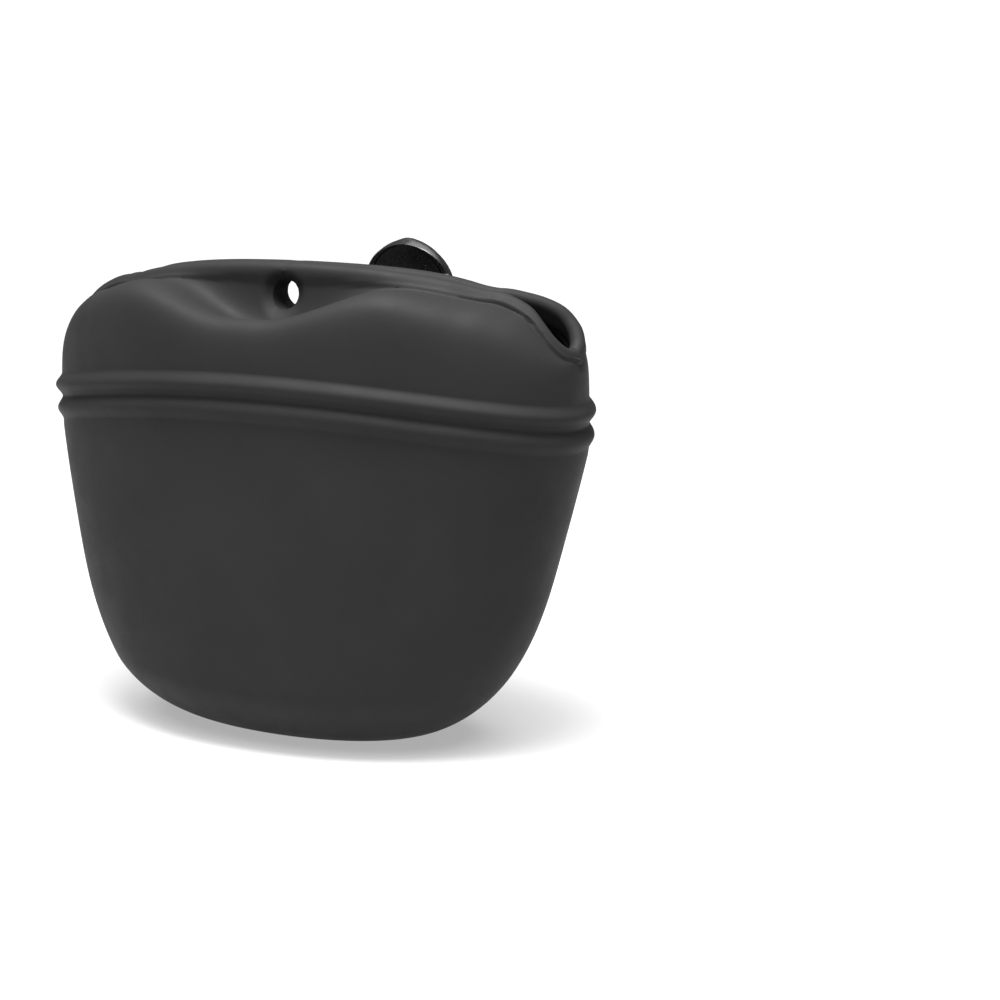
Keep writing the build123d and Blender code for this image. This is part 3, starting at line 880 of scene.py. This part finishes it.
def clip_plate():
    """Back plate with its two ears."""
    low, high = plate_low[2], plate_high[2]
    turns = np.linspace(0, pi / 2, CORNER_RINGS)
    rise = np.concatenate([
        low + PLATE_CORNER * (1 - np.cos(turns)),
        np.linspace(low + PLATE_CORNER, high - PLATE_CORNER, STRAIGHT_RINGS)[1:-1],
        high - PLATE_CORNER * (1 - np.cos(turns[::-1])),
    ])
    rings = []
    for z in rise:
        from_end = min(z - low, high - z)
        lack = max(0.0, PLATE_CORNER - from_end)
        half = PLATE_HALF - PLATE_CORNER + np.sqrt(max(0.0, PLATE_CORNER**2 - lack**2))
        face = np.linspace(-1, 1, PLATE_BACK_POINTS) * (half - PLATE_EDGE)
        relief = plate_relief(face, np.full_like(face, z), half, from_end)
        ring = [(x, PLATE_BACK + h, z) for x, h in zip(face, relief)]
        ring += [(half, PLATE_BACK - PLATE_EDGE_DEEP, z), (half, PLATE_FRONT + PLATE_EDGE_DEEP, z)]
        front_face = np.linspace(-1, 1, PLATE_FRONT_POINTS) * (half - PLATE_EDGE)
        ring += [(-x, PLATE_FRONT, z) for x in front_face]
        ring += [(-half, PLATE_FRONT + PLATE_EDGE_DEEP, z), (-half, PLATE_BACK - PLATE_EDGE_DEEP, z)]
        rings.append(ring)
    plate = tube("clip_plate_and_ears", rings)
    turns = np.linspace(*EAR_ARC, EAR_POINTS)
    profile = [(PIN_Y + EAR_R * cos(turn), PIN_Z + EAR_R * sin(turn)) for turn in turns]
    foot_y = PLATE_BACK - EAR_SINK
    profile += [(foot_y, PIN_Z + EAR_R + EAR_SLOPE), (foot_y, PIN_Z - EAR_R + EAR_LIFT)]
    ears = []
    for x in (-EAR_X, EAR_X):
        ear = prism("ear", profile, EAR_HALF)
        for vertex in ear.data.vertices:
            vertex.co.x += x * MM
        ears.append(ear)
    with bpy.context.temp_override(active_object=plate, selected_editable_objects=[plate, *ears]):
        bpy.ops.object.join()
    return plate


COIL_R, COIL_HALF = 2.3, 2.59      # radius and half length of the coil
COIL_START, COIL_END = pi, 10 * pi
COIL_POINTS, LEG_POINTS = 220, 12
WIRE_R, WIRE_SIDES = 0.45, 16
LEG = 7.5


def clip_spring():
    """Torsion spring round the pin; one leg rests on the plate and one on the lever."""
    turns = np.linspace(COIL_START, COIL_END, COIL_POINTS)
    along = np.linspace(-COIL_HALF, COIL_HALF, len(turns))
    coil = np.stack([along, PIN_Y + COIL_R * np.cos(turns), PIN_Z + COIL_R * np.sin(turns)], axis=1)
    rise = np.linspace(LEG, 0, LEG_POINTS)[:-1, None] * np.array([[0, 0, 1.0]])
    path = np.vstack([coil[0] + rise, coil, (coil[-1] + rise)[::-1]])
    way = unit(np.gradient(path, axis=0))
    side = unit(np.array([1.0, 0, 0]) - way[:, :1] * way)
    other = np.cross(way, side)
    round_wire = np.linspace(0, 2 * pi, WIRE_SIDES + 1)[:-1]
    rings = []
    for point, first, second in zip(path, side, other):
        rings.append([point + WIRE_R * (first * cos(turn) + second * sin(turn)) for turn in round_wire])
    return tube("torsion_spring", rings)


spring = clip_spring()
shade(spring)
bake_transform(spring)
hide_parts("clip_spring")

lever = clip_lever()
plate = clip_plate()
pin_middle = (0, PIN_Y, PIN_Z)
for piece, body, node in ((lever, "lever", "clip_lever"), (plate, "pouch", "clip_back_plate")):
    cut(piece, rod("pin_cutter", pin_middle, PIN_HOLE_R, PIN_CUT_HALF, "x", 48))
    shade(piece, PLASTIC_EDGE)
    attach(piece, body)
    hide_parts(node)


# ------------------------------------------------------------------ materials
MOTTLE_SCALE, MOTTLE_DETAIL = 45, 5
MOTTLE_STOPS = (0.32, 0.70)    # the noise's values that give the dark and the light tone
WEAR_SCALE, WEAR_DETAIL = 160, 4
WEAR_RANGE = (0.15, 0.35)      # the noise's values that give the lowest and the highest roughness
BUMP_STRENGTH = 0.5


def new_material(name):
    """A material with its nodes, its links and its shader."""
    material = bpy.data.materials.new(name)
    material.use_nodes = True
    nodes = material.node_tree.nodes
    return material, nodes, material.node_tree.links, nodes["Principled BSDF"]


def noise(nodes, links, place, scale, detail=3):
    """A noise texture in the object's own space."""
    texture = nodes.new("ShaderNodeTexNoise")
    texture.inputs["Scale"].default_value = scale
    texture.inputs["Detail"].default_value = detail
    links.new(place.outputs["Object"], texture.inputs["Vector"])
    return texture


def surface_material(name, dark, light, rough, grain_scale, grain_depth, metallic=0.0, specular=0.5):
    """Mottled tone, uneven roughness and a fine moulded or worn grain."""
    material, nodes, links, shader = new_material(name)
    place = nodes.new("ShaderNodeTexCoord")
    mottle = noise(nodes, links, place, MOTTLE_SCALE, MOTTLE_DETAIL)
    tone = nodes.new("ShaderNodeValToRGB")
    for element, position, colour in zip(tone.color_ramp.elements, MOTTLE_STOPS, (dark, light)):
        element.position = position
        element.color = (*colour, 1)
    links.new(mottle.outputs["Fac"], tone.inputs["Fac"])
    links.new(tone.outputs["Color"], shader.inputs["Base Color"])
    grain = noise(nodes, links, place, grain_scale)
    wear = noise(nodes, links, place, WEAR_SCALE, WEAR_DETAIL)
    both = nodes.new("ShaderNodeMath")
    both.operation = "MULTIPLY"
    links.new(grain.outputs["Fac"], both.inputs[0])
    links.new(wear.outputs["Fac"], both.inputs[1])
    spread = nodes.new("ShaderNodeMapRange")
    spread.inputs["From Min"].default_value = WEAR_RANGE[0]
    spread.inputs["From Max"].default_value = WEAR_RANGE[1]
    spread.inputs["To Min"].default_value = rough[0]
    spread.inputs["To Max"].default_value = rough[1]
    links.new(both.outputs["Value"], spread.inputs["Value"])
    links.new(spread.outputs["Result"], shader.inputs["Roughness"])
    bump = nodes.new("ShaderNodeBump")
    bump.inputs["Strength"].default_value = BUMP_STRENGTH
    bump.inputs["Distance"].default_value = grain_depth
    links.new(grain.outputs["Fac"], bump.inputs["Height"])
    links.new(bump.outputs["Normal"], shader.inputs["Normal"])
    shader.inputs["Metallic"].default_value = metallic
    shader.inputs["Specular IOR Level"].default_value = specular
    return material


def dress(piece, material):
    """Gives the piece one material."""
    piece.data.materials.clear()
    piece.data.materials.append(material)


silicone = surface_material(
    "matte_silicone",
    dark=(0.0190, 0.0190, 0.0193),
    light=(0.0220, 0.0220, 0.0224),
    rough=(0.54, 0.64),
    grain_scale=2600,
    grain_depth=0.000012,
    specular=0.10,
)
grained_plastic = surface_material(
    "satin_black_plastic",
    dark=(0.0075, 0.0075, 0.0078),
    light=(0.010, 0.010, 0.0103),
    rough=(0.24, 0.36),
    grain_scale=1900,
    grain_depth=0.00002,
)
steel = surface_material(
    "bright_steel",
    dark=(0.66, 0.66, 0.67),
    light=(0.78, 0.78, 0.79),
    rough=(0.16, 0.30),
    grain_scale=3000,
    grain_depth=0.000006,
    metallic=1.0,
)
nickel = surface_material(
    "nickel_plating",
    dark=(0.56, 0.55, 0.53),
    light=(0.68, 0.67, 0.65),
    rough=(0.14, 0.26),
    grain_scale=1400,
    grain_depth=0.000005,
    metallic=1.0,
)
for piece in (cup, flap):
    dress(piece, silicone)
for piece in (lever, plate):
    dress(piece, grained_plastic)
for piece in front_discs:
    dress(piece, nickel)
dress(spring, steel)
dress(frame["nodes"]["clip_hinge_pin"], steel)
for node in ("magnet_rear_left", "magnet_rear_right"):
    dress(frame["nodes"][node], nickel)


# ------------------------------------------------------------------ floor, light and camera
FLOOR_HALF, FLOOR_TONE, FLOOR_GLOW = 3.0, 0.42, 0.40
SURROUND_R, SURROUND_GLOW = 4.0, 1.2
SKY_POWER, SKY_SPREAD = 4.6, 75    # a wide sun, spread in degrees
SKY_FROM = (0.02, -0.14, 1.0)
WORLD_GLOW = 0.16
CAMERA_PLACE = (0.2357, -0.3849, 0.1303)
CAMERA_TURN = 26.7             # degrees to the right of the front
CAMERA_TILT = 10.6             # degrees downwards
CAMERA_LENS = 79.8


def glowing(name, tone, glow):
    """A material of a grey tone that also gives white light."""
    material, nodes, links, shader = new_material(name)
    shader.inputs["Base Color"].default_value = (tone, tone, tone, 1)
    shader.inputs["Emission Color"].default_value = (1, 1, 1, 1)
    shader.inputs["Emission Strength"].default_value = glow
    return material, shader


def studio_floor():
    """A plain pale floor."""
    data = bpy.data.meshes.new("floor")
    half = FLOOR_HALF
    corners = [(-half, -half, 0), (half, -half, 0), (half, half, 0), (-half, half, 0)]
    data.from_pydata(corners, [], [(0, 1, 2, 3)])
    floor = bpy.data.objects.new("floor", data)
    bpy.context.collection.objects.link(floor)
    material, shader = glowing("paper_white", FLOOR_TONE, FLOOR_GLOW)
    shader.inputs["Roughness"].default_value = 0.9
    shader.inputs["Specular IOR Level"].default_value = 0.0
    data.materials.append(material)


def white_surround():
    """A white room seen behind the pouch; it gives no light of its own."""
    data = bpy.data.meshes.new("surround")
    work = bmesh.new()
    bmesh.ops.create_uvsphere(work, u_segments=48, v_segments=24, radius=SURROUND_R)
    work.to_mesh(data)
    work.free()
    surround = bpy.data.objects.new("surround", data)
    bpy.context.collection.objects.link(surround)
    surround.visible_diffuse = False
    surround.visible_glossy = False
    surround.visible_shadow = False
    surround.visible_transmission = False
    data.materials.append(glowing("white_air", 0, SURROUND_GLOW)[0])


def sky_light():
    """A very wide sun from above and slightly from the front."""
    sun = bpy.data.lights.new("sky_light", "SUN")
    sun.energy = SKY_POWER
    sun.angle = radians(SKY_SPREAD)
    sky = bpy.data.objects.new("sky_light", sun)
    bpy.context.collection.objects.link(sky)
    sky.rotation_euler = Vector(SKY_FROM).to_track_quat("Z", "Y").to_euler()


def softbox(name, place, target, size, power):
    """A rectangular light that faces its target."""
    light = bpy.data.lights.new(name, "AREA")
    light.shape = "RECTANGLE"
    light.size, light.size_y = size
    light.energy = power
    lamp = bpy.data.objects.new(name, light)
    bpy.context.collection.objects.link(lamp)
    lamp.location = place
    lamp.rotation_euler = (Vector(target) - Vector(place)).to_track_quat("-Z", "Y").to_euler()


studio_floor()
white_surround()
sky_light()
softbox("top_light", place=(0.02, -0.10, 0.46), target=(0, -0.01, 0.09), size=(0.24, 0.18), power=3.0)

world = bpy.data.worlds.new("studio")
world.use_nodes = True
world.node_tree.nodes["Background"].inputs["Color"].default_value = (1, 1, 1, 1)
world.node_tree.nodes["Background"].inputs["Strength"].default_value = WORLD_GLOW
bpy.context.scene.world = world
bpy.context.scene.view_settings.view_transform = "Standard"

camera_data = bpy.data.cameras.new("camera")
camera_data.lens = CAMERA_LENS
camera_data.sensor_width = 36.0
camera_data.clip_start = 0.01
camera = bpy.data.objects.new("camera", camera_data)
bpy.context.collection.objects.link(camera)
camera.location = CAMERA_PLACE
camera.rotation_euler = (radians(90 - CAMERA_TILT), 0, radians(CAMERA_TURN))
bpy.context.scene.camera = camera
